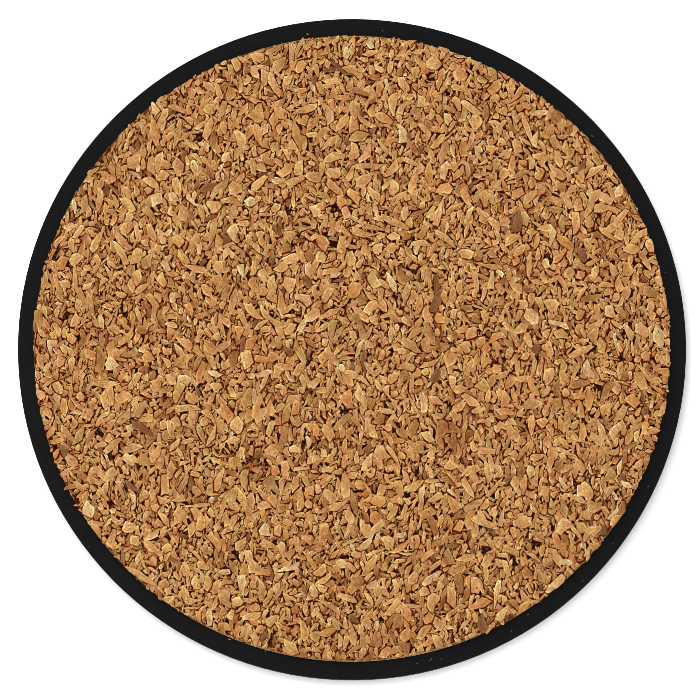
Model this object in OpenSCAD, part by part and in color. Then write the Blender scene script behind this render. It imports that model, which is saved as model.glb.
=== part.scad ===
// Round cork pin board: a disc of coarse-grain cork glued to a slightly larger black
// hardboard disc, hung on one wall screw by a pressed keyhole hanger and held parallel
// to the wall by four self-adhesive bumpers.
//
// Frame: the board hangs upright. +Z is up, -Y is the front (the cork), +Y is the wall.
// The origin is the middle of the whole board's box, so the board is round about Y.

/* [Board] */
// Diameter of the black hardboard disc
board_d = 200; // [180:5:300]
// Thickness of the hardboard
board_t = 3; // [2.5:0.5:6]
// Width of the black rim left showing around the cork
rim_w = 4.8; // [3:0.2:12]
// Thickness of the cork
cork_t = 3; // [2:0.5:6]

/* [Hanger] */
// Height of the hanger above the board's centre
hanger_z = 70; // [30:1:70]
// Sheet thickness of the hanger
sheet_t = 1; // [0.8:0.1:1.2]
// Head room between the board and the hanger's bridge
head_room = 2.5; // [2:0.1:3]
// Diameter of the keyhole's entry, which passes a screw head
entry_d = 8.5; // [7:0.5:9]
// Width of the keyhole's slot, which holds a screw shank
slot_w = 4.5; // [4:0.5:5]

/* [Bumpers] */
// Height of a bumper with its adhesive
bumper_h = 4.2; // [4.2:0.1:6]
// Diameter of a bumper's foot
bumper_d = 12; // [8:1:14]

/* [Hidden] */
$fn = 96;

// Clearance between a rivet and its hole, and the overlap of one cut past a face.
fit_gap = 0.05;
cut = 1;

// Layers through the thickness, from the wall forward.
glue_t = 0.2;
tape_t = 0.2;
wall_y = (bumper_h + board_t + glue_t + cork_t) / 2;
rear_y = wall_y - bumper_h;
front_y = rear_y - board_t;
cork_back_y = front_y - glue_t;
cork_d = board_d - 2 * rim_w;
glue_d = cork_d - 1;

// Hanger: a strip with round ends whose middle is raised into a bridge by 45 degree webs.
hanger_h = 18;
hanger_half = 21;
bridge_half = 9;
rivet_x = 16;
web_foot = bridge_half + head_room;
mitre = sheet_t * tan(22.5);
entry_z = hanger_z - 3;
slot_rise = 6;

// Rivets: domed head at the back, flush countersunk head under the cork.
rivet_d = 3;
dome_d = 6;
dome_h = 1.2;
sink_d = 5.2;
sink_h = 1.1;

// Bumpers sit on the diagonals.
bumper_xz = board_d * 0.4 * cos(45);
bumper_tip_d = bumper_d * 0.75;
bumper_wall = bumper_h * 0.45;
UPPER = 1;
LOWER = -1;
// Left and right are as seen from the front.
LEFT = -1;
RIGHT = 1;

// A round bar of diameter d and length len along +Y, from [x, y, z]; d2 tapers its far end.
module bar(x, y, z, d, len, d2 = undef) {
    translate([x, y, z])
        rotate([-90, 0, 0])
            cylinder(d1 = d, d2 = is_undef(d2) ? d : d2, h = len);
}

module backing_board() {
    color("#1b1b1c") difference() {
        bar(0, front_y, 0, board_d, board_t);
        for (side = [LEFT, RIGHT]) rivet_hole(side * rivet_x);
    }
}

// The hole for one rivet, with the countersink on the board's front face.
module rivet_hole(x) {
    bar(x, front_y - cut, hanger_z, rivet_d + 2 * fit_gap, board_t + 2 * cut);
    bar(x, front_y, hanger_z, sink_d + 2 * fit_gap, sink_h, rivet_d + 2 * fit_gap);
}

module cork_glue_film() {
    color("#8a7a55") bar(0, cork_back_y, 0, glue_d, glue_t);
}

module cork_sheet() {
    color("#b98552") bar(0, cork_back_y - cork_t, 0, cork_d, cork_t, $fn = 180);
}

module keyhole_hanger() {
    color("#b9bcc0") difference() {
        intersection() {
            translate([0, rear_y, hanger_z - hanger_h / 2])
                linear_extrude(hanger_h) hat_section();
            round_ended_blank();
        }
        keyhole();
        for (side = [LEFT, RIGHT])
            bar(side * rivet_x, rear_y - cut, hanger_z, rivet_d + 2 * fit_gap, sheet_t + 2 * cut);
    }
}

// The bent strip seen from above: two ears flat on the board and a raised bridge.
module hat_section() {
    polygon([
        [-hanger_half, 0], [-web_foot, 0], [-bridge_half, head_room],
        [bridge_half, head_room], [web_foot, 0], [hanger_half, 0],
        [hanger_half, sheet_t], [web_foot + mitre, sheet_t],
        [bridge_half + mitre, head_room + sheet_t],
        [-bridge_half - mitre, head_room + sheet_t],
        [-web_foot - mitre, sheet_t], [-hanger_half, sheet_t]
    ]);
}

// The strip's outline on the wall: a bar with semicircular ends.
module round_ended_blank() {
    depth = head_room + sheet_t + 2 * cut;
    end_x = hanger_half - hanger_h / 2;
    for (side = [LEFT, RIGHT])
        bar(side * end_x, rear_y - cut, hanger_z, hanger_h, depth);
    translate([-end_x, rear_y - cut, hanger_z - hanger_h / 2])
        cube([2 * end_x, depth, hanger_h]);
}

// Round entry at the bottom, slot rising from it to the round seat for the screw's shank.
module keyhole() {
    y = rear_y + head_room - cut;
    depth = sheet_t + 2 * cut;
    bar(0, y, entry_z, entry_d, depth);
    bar(0, y, entry_z + slot_rise, slot_w, depth);
    translate([-slot_w / 2, y, entry_z]) cube([slot_w, depth, slot_rise]);
}

module hanger_rivet(side) {
    color("#c9ccd0") translate([side * rivet_x, 0, hanger_z]) {
        bar(0, front_y, 0, rivet_d, board_t + sheet_t);
        bar(0, front_y, 0, sink_d, sink_h, rivet_d);
        dome();
    }
}

// The spherical cap of a rivet's head, seated on the hanger's ear.
module dome() {
    ball_r = (pow(dome_d / 2, 2) + pow(dome_h, 2)) / (2 * dome_h);
    seat_y = rear_y + sheet_t;
    intersection() {
        translate([0, seat_y + dome_h - ball_r, 0]) sphere(r = ball_r);
        bar(0, seat_y, 0, dome_d, dome_h);
    }
}

// A stubby rubber foot: straight wall on the board, tapering to the flat that meets the wall.
module bumper(side, level) {
    foot_y = rear_y + tape_t;
    taper_y = foot_y + bumper_wall;
    color("#3c3c3e") translate([side * bumper_xz, 0, level * bumper_xz]) {
        bar(0, foot_y, 0, bumper_d, bumper_wall);
        bar(0, taper_y, 0, bumper_d, wall_y - taper_y, bumper_tip_d);
    }
}

module bumper_tape(side, level) {
    color("#e6e2d6") bar(side * bumper_xz, rear_y, level * bumper_xz, bumper_d - 1, tape_t);
}

backing_board();
cork_glue_film();
cork_sheet();
keyhole_hanger();
hanger_rivet(LEFT);  // hanger_rivet_left
hanger_rivet(RIGHT);  // hanger_rivet_right
bumper(LEFT, UPPER);  // bumper_upper_left
bumper(RIGHT, UPPER);  // bumper_upper_right
bumper(LEFT, LOWER);  // bumper_lower_left
bumper(RIGHT, LOWER);  // bumper_lower_right
bumper_tape(LEFT, UPPER);  // bumper_tape_upper_left
bumper_tape(RIGHT, UPPER);  // bumper_tape_upper_right
bumper_tape(LEFT, LOWER);  // bumper_tape_lower_left
bumper_tape(RIGHT, LOWER);  // bumper_tape_lower_right
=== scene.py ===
import math
from dataclasses import dataclass, fields

import bpy
import numpy as np
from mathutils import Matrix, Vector


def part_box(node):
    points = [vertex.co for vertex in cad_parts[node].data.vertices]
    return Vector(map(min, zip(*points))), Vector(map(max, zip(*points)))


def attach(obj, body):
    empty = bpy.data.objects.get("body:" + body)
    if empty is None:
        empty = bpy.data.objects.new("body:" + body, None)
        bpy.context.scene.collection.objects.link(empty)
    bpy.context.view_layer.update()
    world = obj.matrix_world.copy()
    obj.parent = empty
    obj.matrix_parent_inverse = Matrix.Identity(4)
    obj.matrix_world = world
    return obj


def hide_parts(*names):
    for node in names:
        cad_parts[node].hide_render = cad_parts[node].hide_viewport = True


# Looks of a round cork pin board on a wall. The cork is built from thousands of closed chips; the
# other parts are the CAD parts with materials. The cork's lengths are in millimetres until its meshes
# are made, where MM turns them into metres. Across the board, u runs along +X and v along +Z, and
# depth runs from the cork's face towards the wall. The stage, the lights and the camera are in metres.

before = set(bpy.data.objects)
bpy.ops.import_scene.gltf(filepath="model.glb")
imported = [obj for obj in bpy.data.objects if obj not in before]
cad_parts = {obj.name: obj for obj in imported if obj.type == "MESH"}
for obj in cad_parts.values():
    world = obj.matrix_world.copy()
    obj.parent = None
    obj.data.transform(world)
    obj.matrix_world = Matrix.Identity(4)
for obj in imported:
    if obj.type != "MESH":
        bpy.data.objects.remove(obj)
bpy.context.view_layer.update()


# ---------------------------------------------------------------- sizes

MM = 0.001
TAU = 2 * math.pi

board_low, board_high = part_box("backing_board")
cork_low, cork_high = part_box("cork_sheet")
board_r = (board_high.x - board_low.x) / 2 / MM
cork_r = (cork_high.x - cork_low.x) / 2 / MM
cork_t = (cork_high.y - cork_low.y) / MM
face_y = cork_low.y / MM
rim_depth = board_low.y / MM - face_y
wall_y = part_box("bumper_upper_left")[1].y

# The cork disc was cut a little out of round and glued a little low.
CORK_WIDE = 0.9995
CORK_TALL = 0.9915
CORK_DROP = 0.26

# Where the cork's face meets its side wall, the chips of both draw back from each other this fast.
MITRE = 0.9
# The chips of the side wall stand back from the cork's nominal edge, so that its notches show.
SET_BACK = 0.2


# ---------------------------------------------------------------- colours

def linear(red, green, blue, share=1.0):
    """A colour given as 0 to 255 screen values, as the linear values that Blender uses, times share."""
    def one(value):
        value /= 255
        if value <= 0.04045:
            return value / 12.92
        return ((value + 0.055) / 1.055) ** 2.4
    return [share * one(red), share * one(green), share * one(blue)]


# The lights together light the cork's face more than once over, so albedos are lower than the seen
# colours, by this share.
LIT = 0.65

# The colours of cork chips, and how common each is.
CORK_COLOURS = [
    (linear(219, 176, 116, LIT), 0.07),
    (linear(213, 163, 102, LIT), 0.27),
    (linear(209, 155, 95, LIT), 0.29),
    (linear(204, 148, 88, LIT), 0.16),
    (linear(190, 144, 87, LIT), 0.11),
    (linear(171, 118, 68, LIT), 0.08),
    (linear(138, 94, 57, LIT), 0.02),
]
PALE_CORK = linear(220, 187, 131, LIT)
# The resin's dark colour is partly the binder and partly painted shade in the gaps between chips.
RESIN_AND_SHADE = linear(94, 29, 5, LIT)
# The core's dark resin is also painted shade of the deep pockets between chips.
CORE_RESIN_AND_SHADE = linear(42, 14, 5, LIT)
CORE_CORK = linear(120, 80, 50, LIT)
# Darker cork is also redder: red, green and blue fall off as these powers of the brightness.
REDDEN = (1.0, 1.7, 1.9)


def shaded(colours, bright):
    """Linear colours made brighter or darker the way cork is."""
    return colours * np.power(np.asarray(bright)[..., None], REDDEN)


# ---------------------------------------------------------------- meshes

def mesh_piece(name, points, faces, material):
    """A new object from vertices in metres and a list of arrays of faces, each array of one face size."""
    mesh = bpy.data.meshes.new(name)
    loops = np.concatenate([f.ravel() for f in faces])
    sizes = np.concatenate([np.full(len(f), f.shape[1]) for f in faces])
    starts = np.concatenate([[0], np.cumsum(sizes)[:-1]])
    mesh.vertices.add(len(points))
    mesh.vertices.foreach_set("co", np.asarray(points, np.float32).ravel())
    mesh.loops.add(len(loops))
    mesh.loops.foreach_set("vertex_index", loops.astype(np.int32))
    mesh.polygons.add(len(sizes))
    mesh.polygons.foreach_set("loop_start", starts.astype(np.int32))
    mesh.update(calc_edges=True)
    mesh.validate()
    mesh.materials.append(material)
    piece = bpy.data.objects.new(name, mesh)
    bpy.context.scene.collection.objects.link(piece)
    return piece


# ---------------------------------------------------------------- cork: the plan of the chips

# Chips are laid on a raster of cells this wide.
CELL = 0.2
# Each chip is broken along this many straight sides, and its outline is this rough.
SIDES = 6
ROUGHNESS = 0.05
# Each point where two sides meet lies this far round its own share of the circle, and this many half
# sizes out.
CORNER_TURN = (0.05, 0.95)
CORNER_REACH = (0.65, 1.15)
# The largest chips are this many spreads above the typical one.
SIZE_LIMIT = 2.2
# The spread of length over width, and its most.
RATIO_SPREAD = 0.4
RATIO_LIMIT = 5
# The way that upright chips lie, and how far they stray from it.
UPRIGHT = math.radians(87)
UPRIGHT_SPREAD = 0.45
# How far the ends of chips curve over, give or take, in half widths.
BEND_SPREAD = 0.35


@dataclass
class Chips:
    """Flat granules lying in a sheet. u, v: centre; long, short: half sizes; depth: below the sheet's
    surface; all in mm. turn: radians. bend: how far the ends curve over. bearing and reach: the points
    where the straight sides meet, as angles and as distances in half sizes."""
    u: np.ndarray
    v: np.ndarray
    long: np.ndarray
    short: np.ndarray
    depth: np.ndarray
    turn: np.ndarray
    bend: np.ndarray
    bearing: np.ndarray
    reach: np.ndarray

    def pick(self, keep):
        """The chips that keep, an index of any kind, points to."""
        return Chips(*(getattr(self, field.name)[keep] for field in fields(self)))


def draw_chips(rng, count, typical, spread, stretch, upright=0.0):
    """Chips of many sizes, largest first, not yet placed. typical and spread: the middle half size and
    how widely sizes vary. stretch: length over width, of the largest and of the smallest. upright: the
    share that lie upright."""
    size = typical * np.exp(np.clip(rng.normal(0, spread, count), None, SIZE_LIMIT * spread))
    size = np.sort(size)[::-1]
    ratio = np.linspace(*stretch, count) * np.exp(rng.normal(0, RATIO_SPREAD, count))
    root = np.sqrt(np.clip(ratio, 1, RATIO_LIMIT))
    turn = rng.uniform(0, math.pi, count)
    standing = rng.uniform(0, 1, count) < upright
    turn[standing] = rng.normal(UPRIGHT, UPRIGHT_SPREAD, standing.sum())
    return Chips(
        u=np.zeros(count),
        v=np.zeros(count),
        long=size * root,
        short=size / root,
        depth=np.zeros(count),
        turn=turn,
        bend=rng.normal(0, BEND_SPREAD, count),
        bearing=(np.arange(SIDES) + rng.uniform(*CORNER_TURN, (count, SIDES))) * TAU / SIDES,
        reach=rng.uniform(*CORNER_REACH, (count, SIDES)),
    )


def points_of(chips):
    """The points where each chip's sides meet, in half sizes."""
    return chips.reach[..., None] * np.stack([np.cos(chips.bearing), np.sin(chips.bearing)], axis=-1)


def half_sizes_away(u, v, chips, points, i):
    """How far the plan points u, v lie from the centre of chip i: 1 is on its outline."""
    cosine = math.cos(chips.turn[i])
    sine = math.sin(chips.turn[i])
    along = (u * cosine + v * sine) / chips.long[i]
    across = (v * cosine - u * sine) / chips.short[i] - chips.bend[i] * along ** 2
    side = np.searchsorted(chips.bearing[i], np.arctan2(across, along) % TAU) % SIDES
    begin = points[i, side - 1]
    run = points[i, side] - begin
    away = run[..., 1] * along - run[..., 0] * across
    return away / (run[..., 1] * begin[..., 0] - run[..., 0] * begin[..., 1])


# A chip is tried at this many bare spots, which are looked up afresh after so many chips. Its cells are
# looked for as far out as a bent chip can reach.
TRIES = 4
LOOK_UP = 100
BENT_REACH = 1.3
# A chip lies between these many steps below the chips that it runs under.
STEPS = (0.6, 1.4)


def lay(rng, chips, inside, width, height, bare_share, step, deepest):
    """Lays the chips one by one, largest first, where at least bare_share of their place is still bare,
    each about a step below those it runs under. Chips that find no room, or would lie deeper than
    deepest, are dropped. The sheet is width by height, centred, and inside tells its own points."""
    columns = int(width / CELL)
    rows = int(height / CELL)
    u = (np.arange(columns) + 0.5) * CELL - width / 2
    v = (np.arange(rows) + 0.5) * CELL - height / 2
    sheet = inside(u[None, :], v[:, None])
    bare = sheet.copy()
    depth = np.full(bare.shape, -step)
    points = points_of(chips)
    laid = []
    for i in range(len(chips.u)):
        if i % LOOK_UP == 0:
            spots = np.flatnonzero(bare)
            if not len(spots):
                break
        reach = int(chips.long[i] * BENT_REACH / CELL) + 1
        near = np.arange(-reach, reach + 1) * CELL
        own = half_sizes_away(near[None, :], near[:, None], chips, points, i) < 1
        own_rows, own_columns = np.nonzero(own)
        for spot in rng.choice(spots, TRIES):
            row, column = divmod(spot, columns)
            at = (
                np.clip(row + own_rows - reach, 0, rows - 1),
                np.clip(column + own_columns - reach, 0, columns - 1),
            )
            lower = depth[at].max() + step * rng.uniform(*STEPS)
            if bare[at].sum() > bare_share * sheet[at].sum() and lower < deepest:
                depth[at] = np.where(bare[at], lower, depth[at])
                bare[at] = False
                chips.u[i] = u[column]
                chips.v[i] = v[row]
                chips.depth[i] = lower
                laid.append(i)
                break
    return chips.pick(laid)


def outlines_of(rng, chips, cuts):
    """Outlines as (chip, corner, uv), with each straight side cut in so many slightly rough lengths."""
    begin = points_of(chips)[:, :, None, :]
    run = np.roll(begin, -1, axis=1) - begin
    outline = begin + run * (np.arange(cuts) / cuts)[:, None]
    outline = outline.reshape(len(chips.u), SIDES * cuts, 2)
    outline = outline * np.exp(rng.normal(0, ROUGHNESS, outline.shape[:2]))[..., None]
    along = outline[..., 0]
    across = (outline[..., 1] + chips.bend[:, None] * along ** 2) * chips.short[:, None]
    along = along * chips.long[:, None]
    cosine = np.cos(chips.turn)[:, None]
    sine = np.sin(chips.turn)[:, None]
    return np.stack([
        chips.u[:, None] + along * cosine - across * sine,
        chips.v[:, None] + along * sine + across * cosine,
    ], axis=-1)


# ---------------------------------------------------------------- cork: the chips as solids

# How widely chips vary in red, green and blue, and in strength.
HUE_SPREAD = (0.028, 0.0, 0.055)
STRENGTH_SPREAD = 0.05
# Painted light and shadow: a chip is paler towards one side of its outline, by this share, mostly the
# upper left on the face, and its dark resin, which stands for shade, is thinner there and wider on the
# far side. The way of that side strays from chip to chip, in radians.
PAINTED_LIGHT_SIDE = math.radians(135)
PAINTED_LIGHT_SIDE_SPREAD = 1.3
PAINTED_LIGHT_SHARE = 0.18
PATCHY = 0.05
RESIN_PAINTED_SHADOW = 0.7
# Brightness of a chip's middle, of the shoulder round it, which is a painted highlight, and of the bevelled
# edge outside that, which is painted shade.
MIDDLE = 0.97
PAINTED_HIGHLIGHT = 1.19
PAINTED_EDGE_SHADE = 0.76
# The middle ring's share of the way to the shoulder, and how uneven it is next to the shoulder.
MIDDLE_SHARE = 0.6
MIDDLE_UNEVEN = 0.7
# How unevenly a chip's top lies from corner to corner, in mm, and how far its edge drops, in bevels.
UNEVEN = 0.03
DROP = (0.3, 0.8)
# The resin's width: how it varies from chip to chip and from corner to corner, in skirts, and its least
# and the step down to it, in mm.
RESIN_OF_CHIP = (0.1, 1.9)
RESIN_OF_CORNER = (0.3, 1.7)
RESIN_LEAST = 0.02
RESIN_STEP = 0.05
# The bevel leaves at least this share of a chip flat.
FLAT_LEAST = 0.4
# Each chip's grain is taken from its own place within this length, in mm.
GRAIN_RANGE = 400


@dataclass
class Relief:
    """How chips stand in their sheet, in mm. tilt: how unevenly their tops lie. foot: the depth that
    they reach down to. bevel: the width of their worn edge. skirt: the width of the resin round them."""
    tilt: float
    foot: float
    bevel: float
    skirt: float


def chip_colours(rng, count, pale_share):
    """A colour for each chip, picked from the palette and varied in hue and strength."""
    palette = np.array([colour for colour, _ in CORK_COLOURS])
    shares = np.array([share for _, share in CORK_COLOURS])
    picked = palette[rng.choice(len(palette), count, p=shares / shares.sum())]
    picked[rng.uniform(0, 1, count) < pale_share] = PALE_CORK
    hue = np.exp(rng.normal(0, HUE_SPREAD, (count, 3)))
    return shaded(picked * hue, np.exp(rng.normal(0, STRENGTH_SPREAD, count)))


def chip_rings(rng, chips, arms, relief):
    """The rings of corners that make up a chip, from its top to its foot. Each is its share of the way
    out along the arms, its depth, its brightness and its share of resin."""
    count, corners, _ = arms.shape
    length = np.linalg.norm(arms, axis=-1)
    inset = np.clip(1 - relief.bevel / length, FLAT_LEAST, 1)
    slope = rng.normal(0, 1, (count, 1, 2)) * (relief.tilt / chips.long)[:, None, None]

    def top(share):
        return chips.depth[:, None] + share * (arms * slope).sum(axis=-1)

    uneven = rng.normal(0, UNEVEN, (count, corners))
    edge = top(1.0) + relief.bevel * rng.uniform(*DROP, (count, 1)) + uneven
    # Painted light: each chip is paler towards its lit side, with random patches from corner to corner.
    painted_light_way = PAINTED_LIGHT_SIDE + rng.normal(0, PAINTED_LIGHT_SIDE_SPREAD, (count, 1))
    toward_painted_light = np.cos(np.arctan2(arms[..., 1], arms[..., 0]) - painted_light_way)
    pale = np.exp(PAINTED_LIGHT_SHARE * toward_painted_light + rng.normal(0, PATCHY, (count, corners)))
    thickness = rng.uniform(*RESIN_OF_CHIP, (count, 1)) * rng.uniform(*RESIN_OF_CORNER, (count, corners))
    # Painted shadow: the resin narrows towards the lit side and widens away from it.
    resin = relief.skirt * thickness * (1 - RESIN_PAINTED_SHADOW * toward_painted_light) + RESIN_LEAST
    out = 1 + resin / length
    middle = MIDDLE_SHARE * inset
    # The shoulder ring carries a painted highlight, and the edge ring painted shade that deepens away from
    # the lit side.
    return [
        (middle, top(middle) + MIDDLE_UNEVEN * uneven, MIDDLE * np.sqrt(pale), 0),
        (inset, top(inset) + uneven, PAINTED_HIGHLIGHT * pale, 0),
        (np.ones_like(inset), edge, PAINTED_EDGE_SHADE * pale ** 2, 0),
        (out, edge + RESIN_STEP, pale, 1),
        (out, np.full((count, corners), relief.foot), pale, 1),
    ]


def chip_faces(count, corners, rings):
    """The triangles and the quads of so many closed solids, each of the rings of corners and two hubs."""
    here = np.arange(corners)
    after = np.roll(here, -1)
    bottom = (rings - 1) * corners
    top_hub = rings * corners
    fans = [
        np.column_stack([here, after, np.full(corners, top_hub)]),
        np.column_stack([after + bottom, here + bottom, np.full(corners, top_hub + 1)]),
    ]
    walls = [
        np.column_stack([here + corners, after + corners, after, here]) + ring * corners
        for ring in range(rings - 1)
    ]
    first = np.arange(count)[:, None, None] * (rings * corners + 2)
    return [
        (first + np.concatenate(fans)).reshape(-1, 3),
        (first + np.concatenate(walls)).reshape(-1, 4),
    ]


def chip_solids(rng, chips, cuts, colours, relief, keep_in):
    """Closed solids with a slightly uneven top, a bevelled edge painted darker as shade, a skirt of dark
    resin that also stands for the shade in the gaps, and a wall down to the foot. keep_in(plan, below)
    moves plan points back inside the sheet's edge, below being how far they are under the chip's top.
    Returns vertices as (u, v, depth), faces, colours with painted light and shade and the share of resin,
    and places in the chip's own grain."""
    outlines = outlines_of(rng, chips, cuts)
    count, corners, _ = outlines.shape
    centre = outlines.mean(axis=1, keepdims=True)
    arms = outlines - centre
    rings = chip_rings(rng, chips, arms, relief)

    points = []
    tints = []
    for share, depth, bright, resin in rings:
        plan = keep_in(centre + arms * share[..., None], np.clip(depth - chips.depth[:, None], 0, None))
        points.append(np.concatenate([plan, depth[..., None]], axis=-1))
        tint = shaded(colours[:, None, :], bright)
        tints.append(np.concatenate([tint, np.full((count, corners, 1), resin)], axis=-1))
    for depth, resin in ((chips.depth, 0), (np.full(count, relief.foot), 1)):
        plan = keep_in(centre, (depth - chips.depth)[:, None])
        points.append(np.concatenate([plan, depth[:, None, None]], axis=-1))
        tints.append(np.concatenate([colours, np.full((count, 1), resin)], axis=-1)[:, None, :])
    points = np.concatenate(points, axis=1)
    tints = np.concatenate(tints, axis=1)

    cosine = np.cos(chips.turn)[:, None]
    sine = np.sin(chips.turn)[:, None]
    off = points[..., :2] - centre
    grain = np.stack([
        off[..., 0] * cosine + off[..., 1] * sine,
        off[..., 1] * cosine - off[..., 0] * sine,
        rng.uniform(0, GRAIN_RANGE, (count, 1)) + points[..., 2],
    ], axis=-1)
    faces = chip_faces(count, corners, len(rings))
    return points.reshape(-1, 3), faces, tints.reshape(-1, 4), grain.reshape(-1, 3)


def on_face(points):
    """From (u, v, depth) on the cork's face to metres in the frame."""
    u, v, depth = points.T
    return np.column_stack([u * CORK_WIDE, face_y + depth, v * CORK_TALL - CORK_DROP]) * MM


def on_side(points):
    """From (arc length, depth from the face, depth into the cork) on its side wall to metres in the frame."""
    arc, depth, inward = points.T
    angle = -arc / cork_r
    radius = cork_r - SET_BACK - inward
    return on_face(np.column_stack([radius * np.cos(angle), radius * np.sin(angle), depth]))


def stand_for_cork(piece):
    """Makes a piece part of the cork, in the CAD part's place."""
    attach(piece, "root")
    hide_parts("cork_sheet")


def cork_piece(name, solids, place, material):
    """One piece of the cork, made of many chips."""
    points, faces, tints, grain = solids
    piece = mesh_piece(name, place(points), faces, material)
    colours = piece.data.attributes.new("tint", "FLOAT_COLOR", "POINT")
    colours.data.foreach_set("color", tints.astype(np.float32).ravel())
    places = piece.data.attributes.new("grain", "FLOAT_VECTOR", "POINT")
    places.data.foreach_set("vector", grain.astype(np.float32).ravel())
    stand_for_cork(piece)


# ---------------------------------------------------------------- materials: helpers

def add(tree, kind, inputs=None, **settings):
    """A shader node with its settings and its inputs, each a value or another node's output."""
    node = tree.nodes.new(kind)
    for name, value in settings.items():
        setattr(node, name, value)
    for name, value in (inputs or {}).items():
        if isinstance(value, bpy.types.NodeSocket):
            tree.links.new(value, node.inputs[name])
        else:
            node.inputs[name].default_value = value
    return node


def new_material(name):
    """An empty node material, its tree and its Principled shader."""
    material = bpy.data.materials.new(name)
    material.use_nodes = True
    tree = material.node_tree
    return material, tree, tree.nodes["Principled BSDF"]


def maths(tree, operation, first, second=0.0):
    """The result of a Math node, such as MULTIPLY."""
    return add(tree, "ShaderNodeMath", {0: first, 1: second}, operation=operation).outputs[0]


def remap(tree, value, low, high, to_low, to_high):
    """value from the range low..high to to_low..to_high, held at the ends."""
    return add(tree, "ShaderNodeMapRange", {
        "Value": value, "From Min": low, "From Max": high, "To Min": to_low, "To Max": to_high,
    }).outputs[0]


def noise(tree, vector, scale, detail=2.0, roughness=0.5):
    """Noise with about scale lumps to a millimetre of vector, and so many finer layers."""
    return add(tree, "ShaderNodeTexNoise", {
        "Vector": vector, "Scale": scale, "Detail": detail, "Roughness": roughness,
    }).outputs[0]


def swing(tree, value, to_low, to_high):
    """The usual range of a noise, spread to to_low..to_high."""
    return remap(tree, value, 0.3, 0.7, to_low, to_high)


def millimetres(tree):
    """Object coordinates in millimetres."""
    place = add(tree, "ShaderNodeTexCoord").outputs["Object"]
    return add(tree, "ShaderNodeVectorMath", {0: place, 3: 1 / MM}, operation="SCALE").outputs[0]


def stretched(tree, vector, along_x, along_y, along_z):
    """vector with each axis scaled, so that a noise on it runs in streaks."""
    scales = (along_x, along_y, along_z)
    return add(tree, "ShaderNodeVectorMath", {0: vector, 1: scales}, operation="MULTIPLY").outputs[0]


def dim(tree, colour, share):
    """colour times a grey share."""
    return add(tree, "ShaderNodeVectorMath", {0: colour, 3: share}, operation="SCALE").outputs[0]


def blend(tree, share, first, second):
    """first where share is 0 and second where it is 1, each a linear colour or a node's output."""
    ends = [end if isinstance(end, bpy.types.NodeSocket) else (*end, 1) for end in (first, second)]
    return add(tree, "ShaderNodeMix", {0: share, 6: ends[0], 7: ends[1]}, data_type="RGBA").outputs[2]


def finish_surface(tree, shader, colour, roughness, height, depth_mm):
    """Wires colour, roughness and a bump of depth_mm to the shader."""
    bump = add(tree, "ShaderNodeBump", {"Height": height, "Distance": depth_mm * MM})
    tree.links.new(colour, shader.inputs["Base Color"])
    tree.links.new(roughness, shader.inputs["Roughness"])
    tree.links.new(bump.outputs[0], shader.inputs["Normal"])


# ---------------------------------------------------------------- materials: cork

def cork_material():
    """Cork chips: each has its own colour, with painted light and shade, streaks along its length, pores
    and dark cracks; resin, dark partly as painted shade of the gaps, rims it.
    """
    material, tree, shader = new_material("cork_chips")
    own = add(tree, "ShaderNodeAttribute", attribute_name="tint").outputs
    grain = add(tree, "ShaderNodeAttribute", attribute_name="grain").outputs["Vector"]
    drawn = stretched(tree, grain, 0.5, 1.1, 1.0)
    streaks = noise(tree, drawn, scale=1.2, detail=3.0, roughness=0.7)
    cracks = noise(tree, drawn, scale=1.2)
    pores = noise(tree, grain, scale=2.1, detail=3.0, roughness=0.7)

    shade = maths(tree, "MULTIPLY", swing(tree, streaks, 0.70, 1.22), swing(tree, pores, 0.72, 1.22))
    falling = {i: maths(tree, "POWER", shade, power) for i, power in enumerate(REDDEN)}
    shades = add(tree, "ShaderNodeCombineXYZ", falling).outputs[0]
    colour = add(tree, "ShaderNodeVectorMath", {0: own["Color"], 1: shades}, operation="MULTIPLY").outputs[0]

    # The resin share also carries the painted shade of the gaps.
    in_resin_and_shade = maths(tree, "ADD", own["Alpha"], swing(tree, pores, -0.15, 0.15))
    in_resin_and_shade = remap(tree, in_resin_and_shade, 0.12, 0.28, 0.0, 1.0)
    in_crack = remap(tree, cracks, 0.68, 0.71, 0.0, 0.9)
    colour = blend(tree, maths(tree, "MAXIMUM", in_resin_and_shade, in_crack), colour, RESIN_AND_SHADE)

    relief = maths(tree, "ADD", pores, maths(tree, "MULTIPLY", streaks, 0.6))
    height = maths(tree, "SUBTRACT", relief, in_crack)
    finish_surface(tree, shader, colour, swing(tree, pores, 0.92, 0.74), height, depth_mm=0.09)
    shader.inputs["Specular IOR Level"].default_value = 0.03
    return material


def core_material():
    """The dark core under the granules: resin darkened as painted shade of the deep pockets, with buried
    granules showing through.
    """
    material, tree, shader = new_material("cork_core_resin_and_shade")
    place = millimetres(tree)
    lumps = noise(tree, place, scale=1.3, detail=3.0, roughness=0.6)
    fine = noise(tree, place, scale=4.0)
    colour = blend(tree, remap(tree, lumps, 0.5, 0.62, 0.0, 0.8), CORE_RESIN_AND_SHADE, CORE_CORK)
    colour = dim(tree, colour, swing(tree, fine, 0.7, 1.25))
    finish_surface(tree, shader, colour, swing(tree, fine, 0.9, 0.6), lumps, depth_mm=0.3)
    shader.inputs["Specular IOR Level"].default_value = 0.03
    return material


# ---------------------------------------------------------------- cork: pieces

FACE_CHIPS = 13500
FACE_RELIEF = Relief(tilt=0.08, foot=1.5, bevel=0.17, skirt=0.17)
# The smallest chips from this rank on are fines, which are simpler and more often pale.
FINES_FROM = 0.55
# Some chips below the largest have fallen out.
NEVER_FALLEN = 0.1
FALLEN_OUT = 0.015
# How unevenly chips end at the cork's edge, the share that stray further out, and how far those do.
RAGGED = 0.25
STRAY = 0.08
STRAY_OUT = (0.2, 1.0)
# The share of chips perched on the others, and the depths that they lie at.
PERCHED = 0.08
PERCHED_DEPTH = (-0.05, 0.1)
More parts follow.
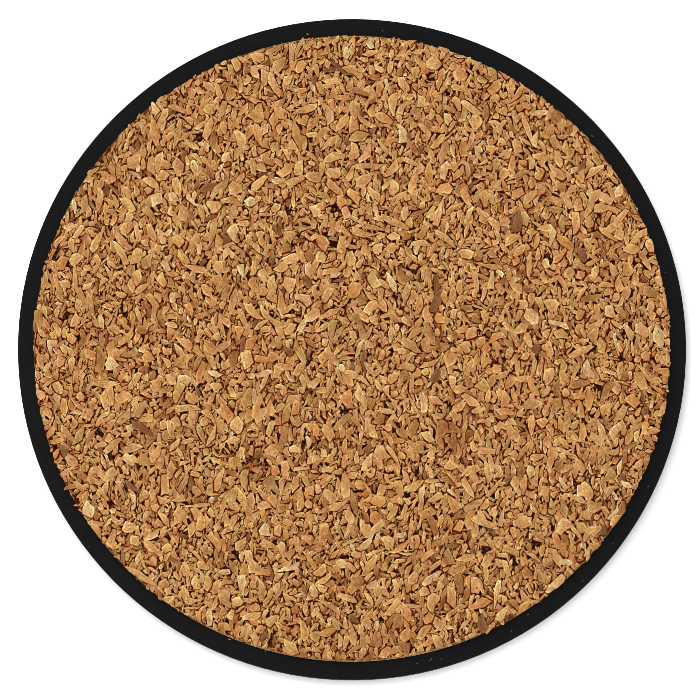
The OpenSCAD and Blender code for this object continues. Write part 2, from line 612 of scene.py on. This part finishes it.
# Painted shade: a chip is this much darker for each mm of depth, down to 1 mm, as if lying in shade.
PAINTED_SHADE_BELOW = 0.4

SIDE_CHIPS = 3600
SIDE_RELIEF = Relief(tilt=0.06, foot=1.2, bevel=0.10, skirt=0.04)
# The side wall's chips begin this far below the face and lie along the wall, give or take.
SIDE_TOP = 0.1
ALONG_SPREAD = 0.35

CRUMBS = 26
CRUMB_RELIEF = Relief(tilt=0.03, foot=rim_depth, bevel=0.05, skirt=0.0)
# Where round the rim crumbs lie, how far they keep from the cork and the rim's edge, how high they
# stand on the rim, and how dusty they are.
CRUMB_BEARING = -0.9
CRUMB_SPREAD = 1.3
CRUMB_GAPS = (0.3, 0.5)
CRUMB_HEIGHT = (0.15, 0.35)
CRUMB_SHADE = 0.45

# The core's rings and corners, how far it keeps inside the cork's edge, and the depths of its lumps.
CORE_RINGS = 70
CORE_CORNERS = 360
CORE_INSET = 0.7
CORE_DEPTH = (0.85, 1.35)


def cork_face(rng, cork):
    """The chips whose cut tops make the cork's face, dealt out to pieces of a handy size."""
    def inside(u, v):
        return np.hypot(u, v) < cork_r

    chips = draw_chips(rng, FACE_CHIPS, typical=0.82, spread=0.52, stretch=(2.2, 2.9), upright=0.55)
    chips = lay(rng, chips, inside, 2 * cork_r, 2 * cork_r, bare_share=0.66, step=0.1, deepest=1.0)
    rank = np.arange(len(chips.u)) / len(chips.u)
    fallen_out = (rank > NEVER_FALLEN) & (rng.uniform(0, 1, len(rank)) < FALLEN_OUT)
    chips = chips.pick(~fallen_out)
    fines_from = int(len(chips.u) * FINES_FROM)
    for number in range(4):
        solids = face_solids(rng, chips.pick(slice(number, fines_from, 4)), cuts=2, pale_share=0.008)
        cork_piece("cork_granules_%d" % (number + 1), solids, on_face, cork)
    for number in range(2):
        solids = face_solids(rng, chips.pick(slice(fines_from + number, None, 2)), cuts=1, pale_share=0.05)
        cork_piece("cork_fines_%d" % (number + 1), solids, on_face, cork)


def face_solids(rng, chips, cuts, pale_share):
    """Chips of the face. A few stand out past the cork's cut edge, and a few are perched on the others."""
    count = len(chips.u)
    ragged = rng.normal(0, RAGGED, count)
    stray = rng.uniform(0, 1, count) < STRAY
    ragged[stray] += rng.uniform(*STRAY_OUT, stray.sum())

    def keep_in(plan, below):
        radius = np.linalg.norm(plan, axis=-1)
        limit = cork_r + ragged[:, None] - MITRE * below
        return plan * np.minimum(1, limit / radius)[..., None]

    perched = rng.uniform(0, 1, count) < PERCHED
    chips.depth[perched] = rng.uniform(*PERCHED_DEPTH, perched.sum())
    # Painted shade: chips that lie deeper are darker.
    colours = shaded(chip_colours(rng, count, pale_share), 1 - PAINTED_SHADE_BELOW * np.clip(chips.depth, 0, 1))
    return chip_solids(rng, chips, cuts, colours, FACE_RELIEF, keep_in)


def cork_side(rng, cork):
    """The chips cut through at the cork's side wall, laid out on the unrolled wall."""
    around = TAU * cork_r
    half_wall = (cork_t - SIDE_TOP) / 2

    def inside(u, v):
        return (np.abs(u) < around / 2) & (np.abs(v) < half_wall)

    def keep_in(plan, below):
        along = np.clip(plan[..., 0], -around / 2, around / 2)
        across = np.clip(plan[..., 1], -half_wall + MITRE * below, half_wall)
        return np.stack([along, across + SIDE_TOP + half_wall], axis=-1)

    chips = draw_chips(rng, SIDE_CHIPS, typical=0.75, spread=0.42, stretch=(1.8, 2.4))
    chips.turn = rng.normal(0, ALONG_SPREAD, len(chips.u)) % math.pi
    chips = lay(rng, chips, inside, around, 2 * half_wall, bare_share=0.6, step=0.07, deepest=0.6)
    colours = chip_colours(rng, len(chips.u), pale_share=0.03)
    solids = chip_solids(rng, chips, 2, colours, SIDE_RELIEF, keep_in)
    cork_piece("cork_side_granules", solids, on_side, cork)


def rim_crumbs(rng, cork):
    """Dusty crumbs of cork on the black rim, most of them near the cork and towards the lower right."""
    chips = draw_chips(rng, CRUMBS, typical=0.16, spread=0.4, stretch=(2.5, 1.5))
    bearing = rng.normal(CRUMB_BEARING, CRUMB_SPREAD, CRUMBS)
    room = board_r - cork_r - sum(CRUMB_GAPS)
    radius = cork_r + CRUMB_GAPS[0] + room * rng.uniform(0, 1, CRUMBS) ** 2
    chips.u = radius * np.cos(bearing)
    chips.v = radius * np.sin(bearing)
    chips.depth = rim_depth - rng.uniform(*CRUMB_HEIGHT, CRUMBS)
    colours = chip_colours(rng, CRUMBS, pale_share=0.9) * CRUMB_SHADE
    solids = chip_solids(rng, chips, 1, colours, CRUMB_RELIEF, lambda plan, below: plan)
    cork_piece("cork_crumbs", solids, on_face, cork)


def cork_core(rng):
    """A closed disc with a lumpy face, just under the granules."""
    radius = np.linspace(0, cork_r - CORE_INSET, CORE_RINGS + 1)[1:]
    angle = np.arange(CORE_CORNERS) * TAU / CORE_CORNERS
    u = radius[:, None] * np.cos(angle)
    v = radius[:, None] * np.sin(angle)
    face = np.stack([u, v, rng.uniform(*CORE_DEPTH, u.shape)], axis=-1).reshape(-1, 3)
    back = np.stack([u[-1], v[-1], np.full(CORE_CORNERS, cork_t)], axis=-1)
    hubs = [[0, 0, np.mean(CORE_DEPTH)], [0, 0, cork_t]]
    points = np.concatenate([face, back, hubs])
    faces = chip_faces(1, CORE_CORNERS, CORE_RINGS + 1)
    stand_for_cork(mesh_piece("cork_core", on_face(points), faces, core_material()))


cork = cork_material()
cork_core(np.random.default_rng(11))
cork_face(np.random.default_rng(12), cork)
cork_side(np.random.default_rng(14), cork)
rim_crumbs(np.random.default_rng(15), cork)


# ---------------------------------------------------------------- the other parts

BLACK_BOARD = linear(15.4, 15, 15.4, LIT)
BOARD_DUST = linear(60, 56, 52, LIT)
# The pitch of the screen pattern on the board's back, in mm, and its depth next to that of the tooth.
SCREEN_PITCH = 2.6
SCREEN_DEPTH = 1.5
# How many times paler the board's back is than its dyed face.
BACK_PALER = 4.5


def board_material():
    """Black dyed hardboard: a fine tooth all over, a little dust, and a back that is paler and carries
    the pattern of the wire screen it was formed on, with painted shade in the pattern's valleys."""
    material, tree, shader = new_material("black_hardboard")
    place = millimetres(tree)
    tooth = noise(tree, place, scale=2.2, detail=4.0, roughness=0.7)
    cloud = noise(tree, place, scale=0.05)
    specks = noise(tree, place, scale=2.2, roughness=0.7)
    dust = remap(tree, specks, 0.70, 0.76, 0.0, 0.3)
    faces = add(tree, "ShaderNodeNewGeometry").outputs["True Normal"]
    to_wall = add(tree, "ShaderNodeSeparateXYZ", {0: faces}).outputs["Y"]
    on_back = remap(tree, to_wall, 0.5, 0.9, 0.0, 1.0)

    axes = add(tree, "ShaderNodeSeparateXYZ", {0: place}).outputs
    wires = [
        maths(tree, "SINE", maths(tree, "MULTIPLY", axes[name], TAU / SCREEN_PITCH))
        for name in ("X", "Z")
    ]
    screen = maths(tree, "MULTIPLY", maths(tree, "MULTIPLY", *wires), on_back)
    paler = remap(tree, on_back, 0.0, 1.0, 1.0, BACK_PALER)
    # Painted shade: the screen pattern is darker in its valleys and paler on its ridges, following the bump.
    painted_screen_shade = remap(tree, screen, -1.0, 1.0, 0.7, 1.3)

    shade = maths(tree, "MULTIPLY", swing(tree, tooth, 0.65, 1.35), swing(tree, cloud, 0.9, 1.1))
    shade = maths(tree, "MULTIPLY", shade, maths(tree, "MULTIPLY", paler, painted_screen_shade))
    colour = blend(tree, dust, dim(tree, BLACK_BOARD, shade), BOARD_DUST)
    height = maths(tree, "ADD", tooth, maths(tree, "MULTIPLY", screen, SCREEN_DEPTH))
    finish_surface(tree, shader, colour, swing(tree, tooth, 0.7, 0.52), height, depth_mm=0.05)
    shader.inputs["Specular IOR Level"].default_value = 0.06
    return material


def steel_material():
    """Bright zinc plate: drawn grain along the strip, a faint passivate tint and duller handling marks."""
    material, tree, shader = new_material("zinc_steel")
    place = millimetres(tree)
    lines = noise(tree, stretched(tree, place, 0.25, 6.0, 6.0), scale=1.5, detail=3.0)
    cloud = noise(tree, place, scale=0.22, detail=3.0)
    colour = blend(tree, remap(tree, cloud, 0.4, 0.6, 0, 1), (0.56, 0.57, 0.60), (0.62, 0.60, 0.52))
    colour = dim(tree, colour, swing(tree, lines, 0.85, 1.1))
    roughness = remap(tree, cloud, 0.35, 0.65, 0.24, 0.42)
    roughness = maths(tree, "ADD", roughness, maths(tree, "MULTIPLY", lines, 0.1))
    finish_surface(tree, shader, colour, roughness, lines, depth_mm=0.015)
    shader.inputs["Metallic"].default_value = 1.0
    return material


def rivet_material():
    """Satin aluminium with fine hammer marks."""
    material, tree, shader = new_material("rivet_aluminium")
    place = millimetres(tree)
    marks = noise(tree, place, scale=1.4)
    fine = noise(tree, place, scale=9.0)
    colour = dim(tree, (0.70, 0.71, 0.72), swing(tree, marks, 0.85, 1.1))
    finish_surface(tree, shader, colour, swing(tree, fine, 0.3, 0.5), marks, depth_mm=0.08)
    shader.inputs["Metallic"].default_value = 1.0
    return material


def rubber_material():
    """Matte moulded rubber with a fine skin and a little bloom."""
    material, tree, shader = new_material("bumper_rubber")
    place = millimetres(tree)
    skin = noise(tree, place, scale=6.0, detail=3.0)
    bloom = remap(tree, noise(tree, place, scale=0.5, detail=3.0), 0.45, 0.75, 0.0, 0.6)
    colour = blend(tree, bloom, (0.035, 0.035, 0.037), (0.085, 0.083, 0.080))
    finish_surface(tree, shader, colour, swing(tree, skin, 0.9, 0.65), skin, depth_mm=0.04)
    return material


def tape_material():
    """Cream acrylic foam, seen as a thin line round each bumper's foot."""
    material, tree, shader = new_material("bumper_foam_tape")
    cells = noise(tree, millimetres(tree), scale=8.0)
    colour = dim(tree, (0.72, 0.68, 0.56), swing(tree, cells, 0.8, 1.1))
    finish_surface(tree, shader, colour, swing(tree, cells, 0.7, 0.5), cells, depth_mm=0.05)
    return material


def glue_material():
    """Dried contact adhesive: amber, brushed on in strokes."""
    material, tree, shader = new_material("contact_adhesive")
    strokes = stretched(tree, millimetres(tree), 0.3, 1.0, 3.0)
    ridges = noise(tree, strokes, scale=0.8, detail=3.0)
    colour = dim(tree, (0.30, 0.20, 0.08), swing(tree, ridges, 0.7, 1.2))
    finish_surface(tree, shader, colour, swing(tree, ridges, 0.55, 0.3), ridges, depth_mm=0.1)
    return material


# A corner sharper than this, in degrees, is broken, in so many steps.
SHARP_DEG = 28
EDGE_STEPS = 2


def dress(names, material, edge_mm):
    """Gives CAD nodes a material, smooth round faces and slightly broken edges."""
    for name in names:
        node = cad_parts[name]
        node.data.materials.clear()
        node.data.materials.append(material)
        node.data.polygons.foreach_set("use_smooth", [True] * len(node.data.polygons))
        broken = node.modifiers.new("broken_edges", "BEVEL")
        broken.width = edge_mm * MM
        broken.segments = EDGE_STEPS
        broken.limit_method = "ANGLE"
        broken.angle_limit = math.radians(SHARP_DEG)
        broken.harden_normals = True


CORNERS = [level + "_" + side for level in ("upper", "lower") for side in ("left", "right")]
dress(["backing_board"], board_material(), edge_mm=0.12)
dress(["cork_glue_film"], glue_material(), edge_mm=0.03)
dress(["keyhole_hanger"], steel_material(), edge_mm=0.12)
dress(["hanger_rivet_left", "hanger_rivet_right"], rivet_material(), edge_mm=0.05)
dress(["bumper_" + corner for corner in CORNERS], rubber_material(), edge_mm=0.35)
dress(["bumper_tape_" + corner for corner in CORNERS], tape_material(), edge_mm=0.02)


# ---------------------------------------------------------------- stage

HALF_STAGE = 3.0
FLOOR_Z = -0.55
WALL_SHADE = 0.92
FLOOR_SHADE = 0.86


def paint_material(name, shade):
    """Plain matte paint."""
    material, tree, shader = new_material(name)
    mottle = noise(tree, millimetres(tree), scale=0.02, detail=3.0)
    colour = dim(tree, (shade, shade, shade), swing(tree, mottle, 0.985, 1.0))
    tree.links.new(colour, shader.inputs["Base Color"])
    shader.inputs["Roughness"].default_value = 0.95
    shader.inputs["Specular IOR Level"].default_value = 0.1
    return material


def clear_from_behind(material):
    """Lets the wall be seen through from behind, so that the board's back can be looked at."""
    tree = material.node_tree
    behind = add(tree, "ShaderNodeNewGeometry").outputs["Backfacing"]
    clear = add(tree, "ShaderNodeBsdfTransparent").outputs[0]
    mix = add(tree, "ShaderNodeMixShader", {0: behind, 1: tree.nodes["Principled BSDF"].outputs[0], 2: clear})
    tree.links.new(mix.outputs[0], tree.nodes["Material Output"].inputs["Surface"])


def stage_plane(name, corners, material):
    """A backdrop. It casts no shadow, so that the lights behind the wall reach the board's back."""
    mesh = bpy.data.meshes.new(name)
    mesh.from_pydata(corners, [], [tuple(range(len(corners)))])
    mesh.materials.append(material)
    plane = bpy.data.objects.new(name, mesh)
    bpy.context.scene.collection.objects.link(plane)
    plane.visible_shadow = False


wall_paint = paint_material("wall_paint", WALL_SHADE)
clear_from_behind(wall_paint)
stage_plane("wall", [
    (-HALF_STAGE, wall_y, FLOOR_Z), (HALF_STAGE, wall_y, FLOOR_Z),
    (HALF_STAGE, wall_y, HALF_STAGE), (-HALF_STAGE, wall_y, HALF_STAGE),
], wall_paint)
stage_plane("floor", [
    (-HALF_STAGE, -HALF_STAGE, FLOOR_Z), (HALF_STAGE, -HALF_STAGE, FLOOR_Z),
    (HALF_STAGE, HALF_STAGE, FLOOR_Z), (-HALF_STAGE, HALF_STAGE, FLOOR_Z),
], paint_material("floor_paint", FLOOR_SHADE))


# ---------------------------------------------------------------- light and camera

def in_front(across_deg, up_deg, distance):
    """A place in front of the board, turned across to the right and up."""
    across = math.radians(across_deg)
    up = math.radians(up_deg)
    level = math.cos(up)
    return Vector((math.sin(across) * level, -math.cos(across) * level, math.sin(up))) * distance


def area_light(name, place, size, watts):
    """A square soft light at place, aimed at the middle of the board."""
    lamp = bpy.data.lights.new(name, "AREA")
    lamp.size = size
    lamp.energy = watts
    light = bpy.data.objects.new(name, lamp)
    light.location = place
    light.rotation_euler = (-Vector(place)).to_track_quat("-Z", "Y").to_euler()
    bpy.context.scene.collection.objects.link(light)


# The key is nearly square on, so the board's shadow is a thin line at its lower right.
area_light("key", in_front(-5.4, 2.2, 1.8), size=0.6, watts=14.2)
area_light("sky", in_front(-35, 35, 1.6), size=1.6, watts=17.2)
area_light("fill", in_front(40, -15, 1.8), size=1.6, watts=7.6)
area_light("back_left", (1.2, 1.5, 1.0), size=1.6, watts=34)
area_light("back_right", (-1.3, 1.5, 0.3), size=1.6, watts=24)

# The world is seen as white, and lights the board with this strength.
WORLD_LIGHT = 0.4
world = bpy.data.worlds.new("studio")
bpy.context.scene.world = world
world.use_nodes = True
surroundings = world.node_tree.nodes["Background"]
surroundings.inputs["Color"].default_value = (1, 1, 1, 1)
seen = add(world.node_tree, "ShaderNodeLightPath").outputs["Is Camera Ray"]
strength = remap(world.node_tree, seen, 0, 1, WORLD_LIGHT, 1)
world.node_tree.links.new(strength, surroundings.inputs["Strength"])

# The camera looks at this point, in mm, from a little below square on, and the board takes up this share
# of the picture's width.
AIM = (-0.6, 0.0, -1.12)
VIEW_BELOW_DEG = 8.5
VIEW_DISTANCE = 1.2
BOARD_SHARE = 0.9528
# The width of the filter over each pixel, which keeps the chips' edges crisp.
CRISP_FILTER = 0.65
camera_data = bpy.data.cameras.new("camera")
camera = bpy.data.objects.new("camera", camera_data)
bpy.context.scene.collection.objects.link(camera)
aim = Vector(AIM) * MM
camera.location = aim + in_front(0, -VIEW_BELOW_DEG, VIEW_DISTANCE)
camera.rotation_euler = (aim - camera.location).to_track_quat("-Z", "Y").to_euler()
half_view = board_r * MM / BOARD_SHARE / VIEW_DISTANCE
camera_data.lens = camera_data.sensor_width / 2 / half_view
bpy.context.scene.camera = camera
bpy.context.scene.view_settings.view_transform = "Standard"
bpy.context.scene.cycles.filter_width = CRISP_FILTER
